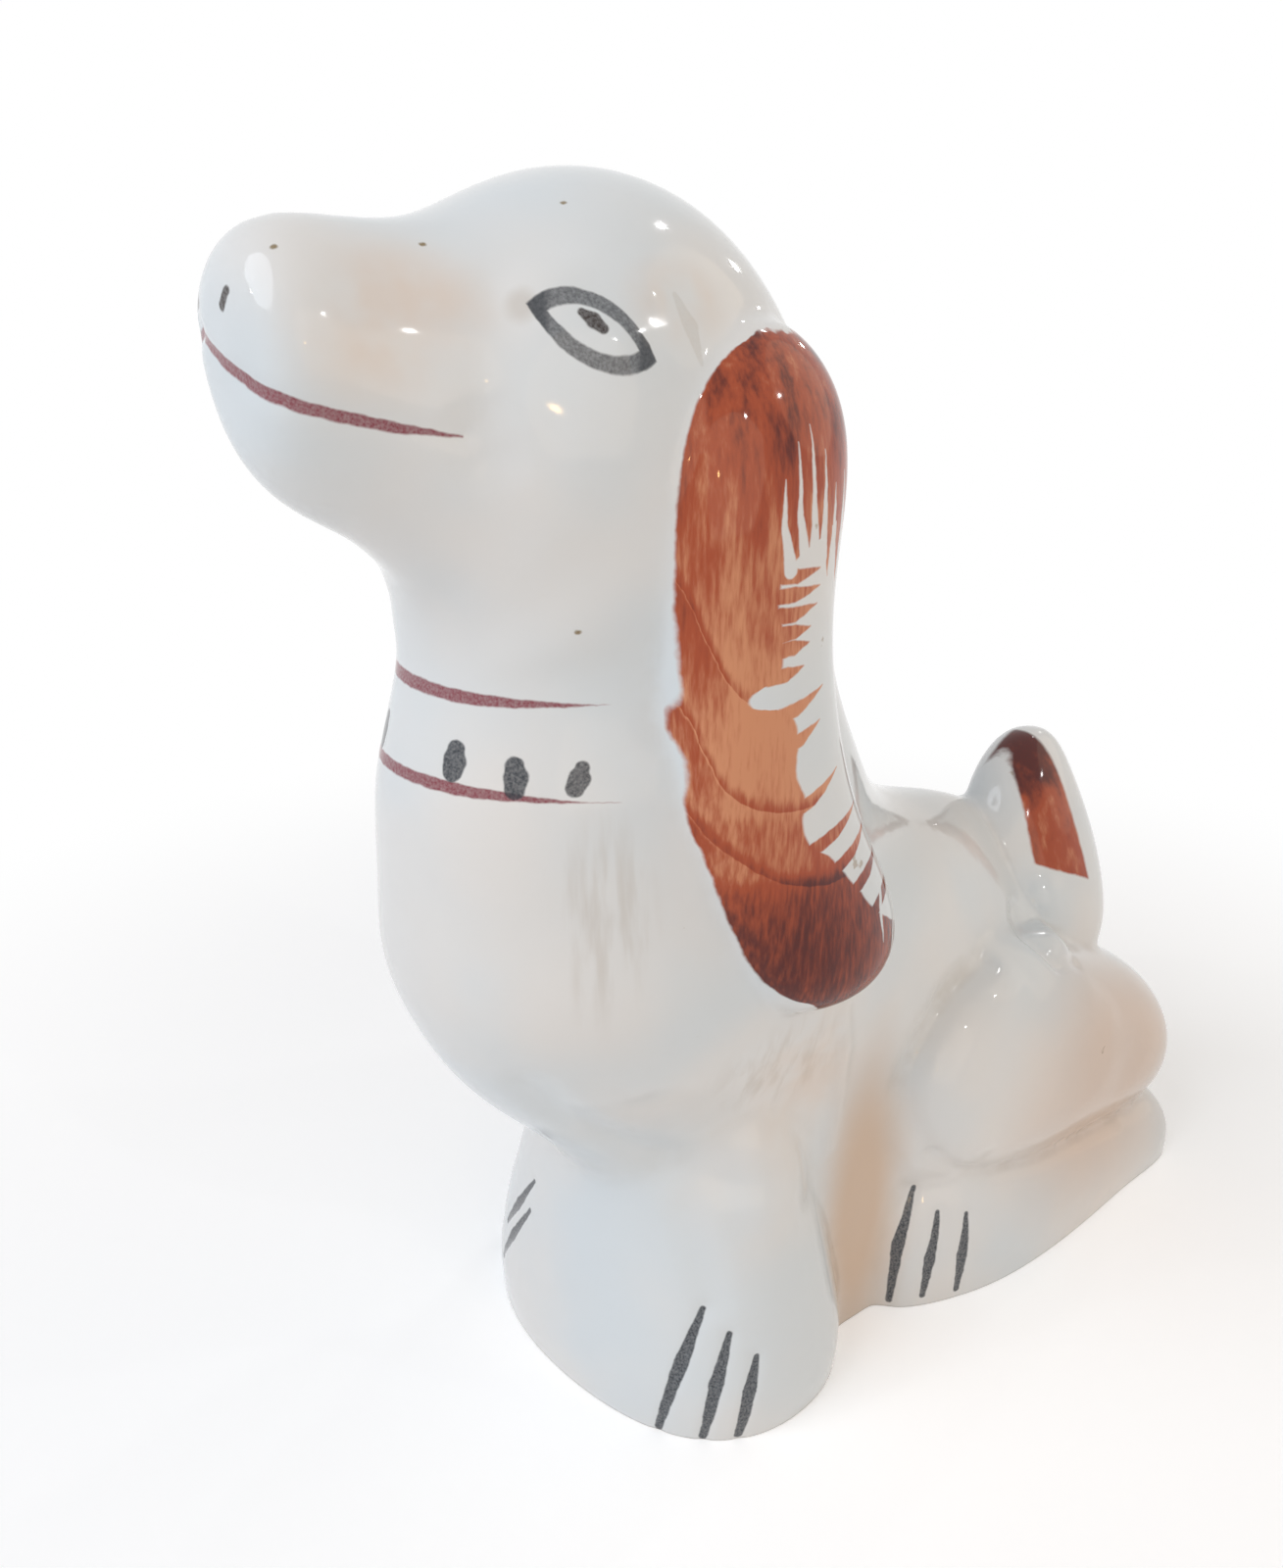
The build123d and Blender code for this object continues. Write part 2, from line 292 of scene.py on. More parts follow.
def brush_marks() -> list[BrushMark]:
    """All line work: mouth, nostrils, pupils, collar studs, toes and the feathers of the ears.

    Returns:
        The marks, in the order they were painted.
    """
    one = Side.AS_PLACED
    stud = (1.1, 1.45, 1.2)
    marks = [
        BrushMark(MOUTH_LEFT, (0.5, 0.64, 0.68, 0.66, 0.6, 0.52, 0.1), Pigment.MAUVE, one),
        BrushMark(MOUTH_RIGHT, (0.5, 0.6, 0.56, 0.1), Pigment.MAUVE, one),
        BrushMark(((1.2, -77.8, 152.1), (2.2, -77.7, 153.4)), (0.55, 0.5), Pigment.UMBER, one),
        BrushMark(((-5.4, -77.2, 152.1), (-6.2, -76.9, 153.4)), (0.55, 0.5), Pigment.UMBER, one),
        BrushMark(((7.4, -59.6, 106.2), (7.4, -59.8, 105.0), (7.4, -60.2, 103.8)), stud),
        BrushMark(((13.0, -55.6, 104.9), (13.3, -55.7, 103.7), (13.4, -56.0, 102.4)), stud),
        BrushMark(((17.7, -49.9, 104.5), (17.5, -50.2, 103.5), (17.2, -50.6, 102.4)), (0.9, 1.3, 1.1)),
        BrushMark(((17.7, -49.1, 151.0), (18.4, -48.3, 150.3), (19.0, -47.6, 149.6)), (0.45, 0.85, 0.55),
                  Pigment.UMBER),
        BrushMark(((19.5, -38.6, 152.6), (20.5, -37.6, 149.6), (21.3, -37.0, 146.0)), (0.4, 1.0, 0.2),
                  Pigment.STAIN, strength=0.16),
    ]
    specks = [(5.5, -74.2, 157.1), (7.2, -59.8, 157.3), (10.1, -45.1, 160.9), (17.5, -50.1, 119.9),
              (21.4, -2.2, 84.1)]
    marks += [BrushMark(((x, y, z), (x, y + 0.2, z)), (0.26, 0.26), Pigment.STAIN, one) for x, y, z in specks]
    for lines, widths in ((FORE_CLAWS, (0.45, 1.05, 0.6)), (FAR_CLAWS, (0.35, 0.9, 0.5))):
        marks += [BrushMark(line, widths, side=one) for line in lines]
    marks += [BrushMark(line, (0.4, 1.0, 0.5)) for line in HIND_CLAWS]
    spikes = [
        ((-32.5, 125.2), (-29.0, 124.6), (-25.4, 125.0)),
        ((-33.0, 122.8), (-29.0, 122.6), (-25.2, 123.0)),
        ((-33.0, 120.6), (-29.0, 120.4), (-25.6, 121.0)),
        ((-31.5, 118.4), (-29.0, 118.4), (-26.6, 118.6)),
        ((-31.5, 116.6), (-29.0, 116.6), (-26.8, 116.8)),
        ((-32.0, 113.8), (-30.0, 113.7), (-27.6, 114.2)),
        ((-33.0, 108.6), (-28.6, 109.4), (-24.2, 111.0)),
        ((-31.0, 105.0), (-28.0, 105.8), (-25.0, 107.2)),
        ((-30.0, 97.0), (-26.0, 98.0), (-21.6, 100.2)),
        ((-27.0, 91.4), (-22.0, 92.4), (-17.0, 94.0)),
        ((-24.0, 87.0), (-19.0, 88.6), (-14.4, 90.6)),
        ((-20.0, 83.0), (-15.6, 84.6), (-11.6, 86.4)),
        ((-16.0, 78.6), (-12.0, 80.4), (-8.4, 82.4)),
        ((-24.6, 132.0), (-24.2, 128.0), (-23.8, 123.8)),
        ((-21.8, 134.0), (-21.4, 127.6), (-21.2, 122.6)),
        ((-19.2, 135.0), (-18.6, 129.0), (-18.2, 125.0)),
    ]
    marks += [BrushMark(ear_line(*line), (1.0, 0.85, 0.06), Pigment.RUST) for line in spikes]
    gaps = [
        ((-30.6, 134.6), (-30.8, 130.0), (-29.8, 125.4)),
        ((-28.8, 138.0), (-28.9, 131.0), (-28.0, 126.4)),
        ((-26.9, 139.6), (-26.9, 132.0), (-26.6, 126.6)),
        ((-25.0, 137.0), (-25.0, 131.0), (-25.0, 126.0)),
        ((-23.0, 133.6), (-23.0, 129.0), (-22.9, 124.4)),
        ((-20.4, 134.6), (-20.2, 130.0), (-20.0, 125.0)),
    ]
    marks += [BrushMark(ear_line(*line), (0.05, 0.42, 0.95), Pigment.BARE) for line in gaps]
    hems = [((-9.5, 78.5), (-10.5, 74.5), (-11.5, 70.5)), ((-13.0, 82.0), (-13.6, 78.0), (-13.2, 74.6)),
            ((-31.0, 70.4), (-29.6, 72.6), (-28.8, 74.6))]
    marks += [BrushMark(ear_line(*line), (0.35, 0.4, 0.05), Pigment.BARE) for line in hems]
    return marks


def reliefs() -> list[Relief]:
    """Forms that are modelled in the clay on top of the large shapes.

    Returns:
        The ridges and hollows.
    """
    one = Side.AS_PLACED
    forms = [
        Relief(MOUTH_LEFT, 1.8, -0.3, one),
        Relief(MOUTH_RIGHT, 1.8, -0.3, one),
        Relief(((15.0, -59.3, 140.6), (15.2, -58.6, 138.6)), 5.0, -0.8),
        Relief(((13.2, -55.6, 152.9), (14.5, -57.4, 148.6), (15.2, -58.5, 144.3)), 5.0, -0.4),
        Relief(((16.6, -50.0, 150.2), (19.5, -46.2, 148.6)), 5.0, 0.4),
        Relief(((14.6, -53.0, 153.6), (15.8, -46.7, 155.8), (18.5, -41.6, 153.9)), 4.0, 0.35),
        Relief(((12.4, -54.8, 62.5), (12.5, -50.5, 56.9), (12.6, -42.7, 49.3), (14.7, -34.2, 42.3),
                (20.6, -28.7, 39.7), (24.0, -22.5, 38.6)), 5.0, -0.8),
        Relief(((18.2, -33.6, 35.1), (20.8, -33.2, 28.2), (22.8, -33.0, 22.5)), 4.5, -0.5),
        Relief(((25.0, -11.6, 62.0), (23.7, -9.0, 54.0), (22.4, -8.1, 44.6), (22.0, -9.1, 36.4)), 2.4, 0.5),
        Relief(((17.5, 49.5, 54.5), (20.0, 47.5, 52.5), (22.5, 44.5, 51.0)), 6.5, 1.7, one),
        Relief(((16.0, 41.6, 55.6), (21.5, 37.6, 54.0), (26.2, 39.8, 49.6), (25.4, 47.0, 47.2)),
               2.4, -0.7, one),
        Relief(((23.0, 24.5, 55.0), (23.1, 13.8, 52.5), (23.4, 8.0, 47.4), (24.0, 4.8, 42.0),
                (25.4, 5.0, 35.8), (27.0, 8.6, 29.4)), 3.6, -0.9),
        Relief(((26.5, 25.0, 51.0), (27.0, 16.0, 47.6), (27.4, 11.0, 41.5), (28.2, 11.4, 35.0),
                (29.6, 15.5, 29.0)), 6.5, 0.8),
        Relief(((27.4, 9.4, 28.4), (29.0, 20.7, 20.7), (31.2, 32.0, 17.6), (31.6, 45.0, 15.6),
                (31.4, 58.0, 13.2)), 2.6, -0.6),
        Relief(((33.4, 38.3, 36.6), (33.0, 42.0, 33.0)), 8.0, -0.45),
        Relief(((33.9, 54.9, 27.5), (34.0, 57.0, 30.0)), 7.0, -0.3),
        Relief(((31.6, 49.7, 38.4), (30.0, 46.0, 41.5)), 6.0, 0.4),
    ]
    forms += [Relief(line, 1.7, -0.3, one) for line in FORE_CLAWS + FAR_CLAWS]
    forms += [Relief(line, 1.7, -0.3) for line in HIND_CLAWS]
    return forms


@dataclass
class Surface:
    """The glazed skin as something to paint on."""

    tree: BVHTree

    def onto(self, point: Point) -> tuple[Vector, Vector]:
        """The nearest place on the skin, in millimetres, and the way it faces.

        Args:
            point: A point near the skin.

        Returns:
            The place and the normal.
        """
        place, normal, _, _ = self.tree.find_nearest(Vector(point) * MM)
        return place / MM, normal


@dataclass
class Palette:
    """Builds the paint masks of the decoration inside one material's node tree."""

    tree: bpy.types.NodeTree
    surface: Surface
    wobble_mm: float = 0.2
    soft_mm: float = 0.3
    flatten: float = 0.8

    def __post_init__(self) -> None:
        """Make the position sockets that every mask reads."""
        t = self.tree
        coords = add(t, "TexCoord", out="Object")
        self.raw = add(t, "VectorMath", {0: coords, "Scale": 1 / MM}, operation="SCALE")
        waver = add(t, "TexNoise", {"Vector": self.raw, "Scale": 0.6, "Detail": 2.0}, out="Color")
        centred = vectors(t, "SUBTRACT", waver, (0.5, 0.5, 0.5))
        self.place = vectors(t, "MULTIPLY_ADD", centred, (2 * self.wobble_mm,) * 3, self.raw)
        self.x, self.y, self.z = add(t, "SeparateXYZ", {0: self.place}).node.outputs
        self.side_x = maths(t, "ABSOLUTE", self.x)
        self.folded = add(t, "CombineXYZ", {0: self.side_x, 1: self.y, 2: self.z})
        self.brush = self._brush_group()

    def _brush_group(self) -> bpy.types.NodeTree:
        """A straight touch of the brush as a node group: distance to a run, less its width.

        Returns:
            The node group.
        """
        g = bpy.data.node_groups.new("brush_touch", "ShaderNodeTree")
        for name, kind in (("Place", "Vector"), ("Start", "Vector"), ("Run", "Vector"), ("Unit", "Vector"),
                           ("Facing", "Vector"), ("First", "Float"), ("Last", "Float")):
            g.interface.new_socket(name, in_out="INPUT", socket_type="NodeSocket" + kind)
        g.interface.new_socket("Mask", in_out="OUTPUT", socket_type="NodeSocketFloat")
        i = g.nodes.new("NodeGroupInput").outputs
        away = vectors(g, "SUBTRACT", i["Place"], i["Start"])
        along = vectors(g, "DOT_PRODUCT", away, i["Unit"])
        share = add(g, "Clamp", {0: along})
        reach = add(g, "VectorMath", {0: i["Run"], "Scale": share}, operation="SCALE")
        off = vectors(g, "SUBTRACT", away, reach)
        depth = vectors(g, "DOT_PRODUCT", off, i["Facing"])
        depth = maths(g, "MULTIPLY", depth, self.flatten)
        sunk = add(g, "VectorMath", {0: i["Facing"], "Scale": depth}, operation="SCALE")
        flat = vectors(g, "SUBTRACT", off, sunk)
        far = vectors(g, "LENGTH", flat)
        width = add(g, "MapRange", {0: share, 3: i["First"], 4: i["Last"]})
        inside = maths(g, "SUBTRACT", width, far)
        ink = add(g, "MapRange", {0: inside, 1: -self.soft_mm / 2, 2: self.soft_mm / 2},
                  interpolation_type="SMOOTHSTEP")
        g.links.new(ink, g.nodes.new("NodeGroupOutput").inputs[0])
        return g

    def mark(self, m: BrushMark) -> Socket:
        """The mask of one brush mark.

        Args:
            m: The mark.

        Returns:
            A socket that is 1 inside the mark.
        """
        spots = [self.surface.onto(p) for p in m.points]
        touches = []
        for i in range(len(spots) - 1):
            (start, facing), (end, other) = spots[i], spots[i + 1]
            run = end - start
            made = self.tree.nodes.new("ShaderNodeGroup")
            made.node_tree = self.brush
            self.tree.links.new(self.folded if m.side is Side.BOTH else self.place, made.inputs["Place"])
            values = {"Start": start, "Run": run, "Unit": run / run.length_squared,
                      "Facing": (facing + other).normalized(), "First": m.widths[i], "Last": m.widths[i + 1]}
            for name, value in values.items():
                made.inputs[name].default_value = value
            touches.append(made.outputs[0])
        return self.either(*touches)

    def step(self, value: Socket, low: float, high: float) -> Socket:
        """A smooth step of a socket from 0 at low to 1 at high, which may be the smaller of the two."""
        return add(self.tree, "MapRange", {0: value, 1: low, 2: high}, interpolation_type="SMOOTHSTEP")

    def both(self, *masks: object) -> Socket:
        """The overlap of masks, or a mask times a number.

        Args:
            *masks: Sockets or numbers.

        Returns:
            Their product.
        """
        made = masks[0]
        for mask in masks[1:]:
            made = maths(self.tree, "MULTIPLY", made, mask)
        return made

    def either(self, *masks: Socket) -> Socket:
        """The union of masks.

        Args:
            *masks: The masks.

        Returns:
            The largest of them.
        """
        made = masks[0]
        for mask in masks[1:]:
            made = maths(self.tree, "MAXIMUM", made, mask)
        return made

    def less(self, a: object, b: object) -> Socket:
        """The difference a - b of two sockets or numbers."""
        return maths(self.tree, "SUBTRACT", a, b)

    def blend(self, mask: Socket, below: object, above: object) -> Socket:
        """A colour over another where a mask is 1."""
        return add(self.tree, "Mix", {0: mask, 6: below, 7: above}, out=2, data_type="RGBA")

    def near(self, middle: Point, radii: Point) -> Socket:
        """A soft round spot on both sides of the dog, 1 in the middle and 0 at the radii.

        Args:
            middle: Its middle on the left side.
            radii: Its radii along the axes.

        Returns:
            The mask socket.
        """
        away = vectors(self.tree, "SUBTRACT", self.folded, middle)
        share = vectors(self.tree, "DIVIDE", away, radii)
        return self.step(vectors(self.tree, "LENGTH", share), 1.0, 0.25)

    def noise(self, size_mm: float, detail: float = 2.0, stretch: Point = (1.0, 1.0, 1.0),
              turn: Point = (0.0, 0.0, 0.0)) -> Socket:
        """Noise with features of about a real size.

        Args:
            size_mm: Size of the features in millimetres.
            detail: Octaves of finer noise.
            stretch: How many times longer the features are along each turned axis.
            turn: Rotation of the axes in degrees.

        Returns:
            A socket between 0 and 1.
        """
        where = add(self.tree, "Mapping", {"Vector": self.raw, "Rotation": tuple(map(radians, turn)),
                                           "Scale": tuple(1 / s for s in stretch)})
        return add(self.tree, "TexNoise", {"Vector": where, "Scale": 1 / size_mm, "Detail": detail})

    def curve(self, value: Socket, points: list[tuple[float, float]]) -> Socket:
        """A hand-drawn edge: a value read off a curve through a few points.

        Args:
            value: The socket that runs along the edge.
            points: Places along the run and their values.

        Returns:
            The curve's value.
        """
        low, high = points[0][0], points[-1][0]
        bottom, top = min(v for _, v in points), max(v for _, v in points)
        share = add(self.tree, "MapRange", {0: value, 1: low, 2: high})
        drawn = add(self.tree, "FloatCurve", {1: share})
        line = drawn.node.mapping.curves[0]
        scaled = [((p - low) / (high - low), (v - bottom) / (top - bottom)) for p, v in points]
        line.points[0].location, line.points[1].location = scaled[0], scaled[-1]
        for place in scaled[1:-1]:
            line.points.new(*place)
        drawn.node.mapping.update()
        return add(self.tree, "MapRange", {0: drawn, 3: bottom, 4: top})


@dataclass
class EarPatch:
    """Rust patch that covers the ear in four overlapping strokes, feathered towards the nape."""

    front: list[tuple[float, float]] = field(default_factory=lambda: [
        (62, -20), (68, -22), (71.5, -27), (76, -31.2), (82, -34), (92, -37.6), (98, -39.6), (104, -40),
        (110, -41.2), (112, -40.8), (116, -41), (126, -41.6), (134, -41.4), (140, -40), (144, -37.6),
        (147.4, -33.4), (149.4, -29), (152, -26)])
    rear: list[tuple[float, float]] = field(default_factory=lambda: [
        (62, -22), (66.6, -19), (68.4, -14.5), (71, -9.6), (74.5, -7), (77, -9.4), (80, -13.5),
        (85, -18), (90, -22.5), (96, -27.5), (98, -27), (102, -28.6), (107, -28.4), (110, -31), (111.6, -35),
        (114, -31), (118, -30.6), (123, -31.4), (126, -29.6), (128.6, -24), (131.5, -18.5),
        (135, -16), (152, -16)])
    load: list[tuple[float, float]] = field(default_factory=lambda: [
        (62, 0.95), (76, 0.95), (84, 0.85), (88.5, 0.6), (91, 0.34), (96, 0.3), (99, 0.1), (108, 0.02),
        (112, 0.06), (118, 0.2), (126, 0.3), (134, 0.5), (140, 0.66), (150, 0.72)])
    hems: tuple[list[tuple[float, float]], ...] = (
        [(-44, 131), (-41, 124), (-38.6, 117), (-36.6, 113), (-34.3, 111.2), (-31, 111.4), (-5, 112)],
        [(-44, 117), (-40.6, 110.6), (-38.6, 104.5), (-36.5, 100.6), (-33.5, 98.6), (-30.5, 97.8),
         (-26.6, 97.4), (-5, 99)],
        [(-44, 104), (-39.4, 98), (-37.4, 94.6), (-35, 92.2), (-32, 89.8), (-29.5, 88.4), (-25, 87),
         (-21, 86.6), (-5, 90)])

    def mask(self, p: Palette) -> Socket:
        """The patch on both ears.

        Args:
            p: The palette that holds the positions.

        Returns:
            The mask socket.
        """
        front, rear = p.curve(p.z, self.front), p.curve(p.z, self.rear)
        sides = p.both(p.step(p.less(p.y, front), -0.15, 0.25), p.step(p.less(rear, p.y), -0.2, 0.35))
        scallop = maths(p.tree, "MULTIPLY_ADD", p.noise(1.6, 1.0), 1.4, p.z)
        return p.both(sides, p.step(p.side_x, 16.5, 18.5), p.step(p.z, 66.2, 67.2),
                      p.step(scallop, 149.9, 149.5))

    def tone(self, p: Palette, r: RustFinish) -> Socket:
        """The colour of the wash: each stroke is pale in its middle and dark along its hem.

        Args:
            p: The palette that holds the positions.
            r: The wash.

        Returns:
            The colour socket.
        """
        hair = p.noise(r.hair_mm, 3.0, (1.0, 1.0, 6.0), (25.0, 0.0, 0.0))
        cloud = p.noise(7.0, 3.0, (1.0, 1.0, 2.5), (25.0, 0.0, 0.0))
        bands = p.noise(2.4, 2.0, (1.0, 1.0, 9.0))
        depth = add(p.tree, "MapRange", {0: cloud, 1: 0.3, 2: 0.7, 3: -0.16, 4: 0.16})
        depth = maths(p.tree, "ADD", p.curve(p.z, self.load), depth)
        crown = p.step(p.z, 116.0, 142.0)
        streaks = add(p.tree, "MapRange", {0: bands, 1: 0.35, 2: 0.65, 3: -0.2, 4: 0.24})
        depth = maths(p.tree, "MULTIPLY_ADD", crown, streaks, depth)
        for hem in self.hems:
            above = p.less(p.z, p.curve(p.y, hem))
            rim = p.both(p.step(above, -0.1, 0.15), p.step(above, 2.2, 0.0))
            under = p.both(p.step(above, 0.0, -0.6), p.step(above, -13.0, -1.0))
            front = p.step(p.y, -35.0, -40.0)
            depth = maths(p.tree, "MULTIPLY_ADD", rim, 0.34, depth)
            depth = maths(p.tree, "MULTIPLY_ADD", p.both(under, front), 0.3, depth)
        fleck = add(p.tree, "MapRange", {0: hair, 1: 0.3, 2: 0.7, 3: -0.16, 4: 0.16})
        depth = maths(p.tree, "ADD", depth, fleck)
        pale = p.blend(p.step(depth, 0.0, 0.55), linear(r.light), linear(r.body))
        return p.blend(p.step(depth, 0.5, 1.15), pale, linear(r.dark))


@dataclass
class TailPatch:
    """Rust patch on the near face of the tail."""

    left: list[tuple[float, float]] = field(default_factory=lambda: [
        (54, 49.4), (60, 49.4), (64, 49.8), (70, 51.2), (74, 52.8), (77, 55.4), (80, 58.0)])

    def mask(self, p: Palette) -> Socket:
        """The patch, on the side where the tail lies.

        Args:
            p: The palette that holds the positions.

        Returns:
            The mask socket.
        """
        left = p.curve(p.z, self.left)
        hem = maths(p.tree, "MULTIPLY_ADD", p.y, 0.43, p.z)
        return p.both(p.step(p.less(p.y, left), -0.1, 0.5), p.step(p.y, 61.2, 60.2), p.step(hem, 81.8, 82.4),
                      p.step(p.x, 0.0, 1.2), p.step(p.y, 44.0, 45.0))

    def tone(self, p: Palette, r: RustFinish) -> Socket:
        """The colour of the wash, darker at the tip and along the hem.

        Args:
            p: The palette that holds the positions.
            r: The wash.

        Returns:
            The colour socket.
        """
        cloud = p.noise(2.6, 3.0, (1.0, 1.0, 3.0))
        tip = p.step(p.z, 69.0, 75.0)
        depth = maths(p.tree, "MULTIPLY_ADD", tip, 0.5, p.less(cloud, -0.1))
        pale = p.blend(p.step(depth, 0.25, 0.6), linear(r.light), linear(r.body))
        return p.blend(p.step(depth, 0.6, 1.05), pale, linear(r.dark))


@dataclass
class EyePaint:
    """Almond eye in one charcoal line, in axes that lie on the cheek."""

    middle: Point = (18.2, -48.15, 149.35)
    along: Point = (0.475, 0.789, -0.390)
    up: Point = (-0.179, 0.520, 0.835)
    half_length: float = 5.85
    half_height: float = 2.7
    skew: float = 0.3
    line: float = 0.78

    def masks(self, p: Palette) -> tuple[Socket, Socket]:
        """The line of both eyes and its dark corners.

        Args:
            p: The palette that holds the positions.

        Returns:
            The line's mask and the corners' mask.
        """
        t = p.tree
        radius = (self.half_length**2 + self.half_height**2) / (2 * self.half_height)
        away = vectors(t, "SUBTRACT", p.folded, self.middle)
        v = vectors(t, "DOT_PRODUCT", away, self.up)
        u = vectors(t, "DOT_PRODUCT", away, self.along)
        leaning = maths(t, "MULTIPLY_ADD", v, self.skew, u)
        lid = maths(t, "ABSOLUTE", v)
        lid = maths(t, "ADD", lid, radius - self.half_height)
        arc = add(t, "CombineXYZ", {0: leaning, 1: lid})
        far = vectors(t, "LENGTH", arc)
        edge = maths(t, "ABSOLUTE", p.less(far, radius))
        close = p.step(vectors(t, "LENGTH", away), 8.2, 7.6)
        line = p.both(p.step(edge, self.line + p.soft_mm / 2, self.line - p.soft_mm / 2), close)
        ends = p.step(maths(t, "ABSOLUTE", leaning), 4.3, 5.3)
        return line, p.both(line, ends)


@dataclass
class CollarPaint:
    """Two mauve lines round the front of the neck, thinning out before the ears."""

    lines: tuple[tuple[float, float, float, float], ...] = (
        (111.7, 0.04, 0.72, -47.4), (101.5, 0.12, 0.68, -49.6))
    throat_y: float = -56.0
    taper: float = 10.0

    def mask(self, p: Palette) -> Socket:
        """Both lines.

        Args:
            p: The palette that holds the positions.

        Returns:
            The mask socket.
        """
        made = []
        for height, drop, thick, end in self.lines:
            level = maths(p.tree, "MULTIPLY_ADD", p.y, drop, p.z)
            off = maths(p.tree, "ABSOLUTE", p.less(level, height + drop * self.throat_y))
            width = add(p.tree, "MapRange", {0: p.y, 1: end - self.taper, 2: end, 3: thick, 4: 0.0})
            made.append(p.step(p.less(width, off), -p.soft_mm / 2, p.soft_mm / 2))
        return p.both(p.either(*made), p.step(p.y, -46.0, -47.0))


@dataclass
class Figure:
    """The glazed skin over the joined clay pieces, cut into one piece of skin per clay piece."""

    voxel_mm: float = 0.8
    melt_passes: int = 9
    melt_share: float = 0.5
    swell_mm: float = 0.1
    skirt_mm: float = 4.0
    foot_mm: float = 0.06
    sole_facing: float = -0.95
    plug_radius_mm: float = 8.0
    plug_sides: int = 24
    vent_mm: float = 9.0
    vent_depth_mm: float = 22.0
    vent_sides: int = 32
    hollow_passes: int = 60
    hollow_share: float = 0.7
    wave_mm: float = 0.22
    wave_length_mm: float = 21.0
    slab: str = "base_slab"
    glaze: GlazeFinish = field(default_factory=GlazeFinish)
    rust: RustFinish = field(default_factory=RustFinish)

    def build(self) -> list[bpy.types.Object]:
        """Melt the clay pieces into one skin, model it, cut its foot flat and share it out.

        Returns:
            The pieces of skin, named after the nodes they cover.
        """
        bm = self._melted(self._joined_clay())
        self._model(bm)
        self._cut_foot(bm)
        bm.normal_update()
        self.surface = Surface(BVHTree.FromBMesh(bm))
        pieces = self._shared_out(bm)
        bm.free()
        return pieces

    def _joined_clay(self) -> bpy.types.Object:
        """All clay pieces in one mesh, with the vent stopped and a skirt below the foot.

        Returns:
            The joined clay.
        """
        bm = bmesh.new()
        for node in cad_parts.values():
            bm.from_mesh(node.data)
        bmesh.ops.remove_doubles(bm, verts=bm.verts, dist=WELD_MM * MM)
        inner = [f for f in bm.faces if all(abs(v.co.x) < FLAT_MM * MM for v in f.verts)]
        bmesh.ops.delete(bm, geom=inner, context="FACES")
        low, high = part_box(self.slab)
        middle = Matrix.Translation((0, (low.y + high.y) / 2, high.z / 2))
        plug = self.plug_radius_mm * MM
        bmesh.ops.create_cone(bm, cap_ends=True, segments=self.plug_sides, radius1=plug, radius2=plug,
                              depth=high.z, matrix=middle)
        soles = [f for f in bm.faces if all(v.co.z < FLAT_MM * MM for v in f.verts)]
        skirt = bmesh.ops.extrude_face_region(bm, geom=soles)["geom"]
        down = [v for v in skirt if isinstance(v, bmesh.types.BMVert)]
        bmesh.ops.translate(bm, verts=down, vec=(0, 0, -self.skirt_mm * MM))
        return poured("clay", bm)

    def _melted(self, raw: bpy.types.Object) -> bmesh.types.BMesh:
        """Fuse the pieces with a fine remesh, keep the outer skin and soften it as glaze does.

        Args:
            raw: The joined pieces, which are removed.

        Returns:
            The skin as a bmesh.
        """
        fuse = raw.modifiers.new("fuse", "REMESH")
        fuse.mode = "VOXEL"
        fuse.voxel_size = self.voxel_mm * MM
        shown = raw.evaluated_get(bpy.context.evaluated_depsgraph_get())
        bm = bmesh.new()
        bm.from_mesh(shown.to_mesh())
        bpy.data.objects.remove(raw)
        self._keep_outer(bm)
        for _ in range(self.melt_passes):
            bmesh.ops.smooth_vert(bm, verts=bm.verts, factor=self.melt_share,
                                  use_axis_x=True, use_axis_y=True, use_axis_z=True)
        bm.normal_update()
        return bm

    def _keep_outer(self, bm: bmesh.types.BMesh) -> None:
        """Drop every shell but the largest, such as the walls of the hollow.

        Args:
            bm: The remeshed skin.
        """
        bm.verts.ensure_lookup_table()
        bm.verts.index_update()
        seen, shells = set(), []
        for v in bm.verts:
            if v.index in seen:
                continue
            shell, queue = [v], [v]
            seen.add(v.index)
            while queue:
                for e in queue.pop().link_edges:
                    for w in e.verts:
                        if w.index not in seen:
                            seen.add(w.index)
                            shell.append(w)
                            queue.append(w)
            shells.append(shell)
        shells.sort(key=len)
        for shell in shells[:-1]:
            bmesh.ops.delete(bm, geom=shell, context="VERTS")
        LOG.info("shells: %s", [len(s) for s in shells])

    def _model(self, bm: bmesh.types.BMesh) -> None:
        """Press the small forms into the skin and keep it inside the box of the solids.

        Args:
            bm: The skin.
        """
        place = np.array([v.co for v in bm.verts]) / MM
        facing = np.array([v.normal for v in bm.verts])
        lift = np.full(len(place), self.swell_mm)
        for form in reliefs():
            lift += form.height * self._closeness(place, form)
        waves = [noise.noise(Vector(p) / self.wave_length_mm) for p in place]
        lift += self.wave_mm * np.array(waves)
        place += facing * lift[:, None]
        low, high = (np.array(c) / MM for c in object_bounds())
        low[2] = -self.skirt_mm - 1.0
        place = np.clip(place, low, high)
        for v, p in zip(bm.verts, place):
            v.co = Vector(p) * MM
        bm.normal_update()

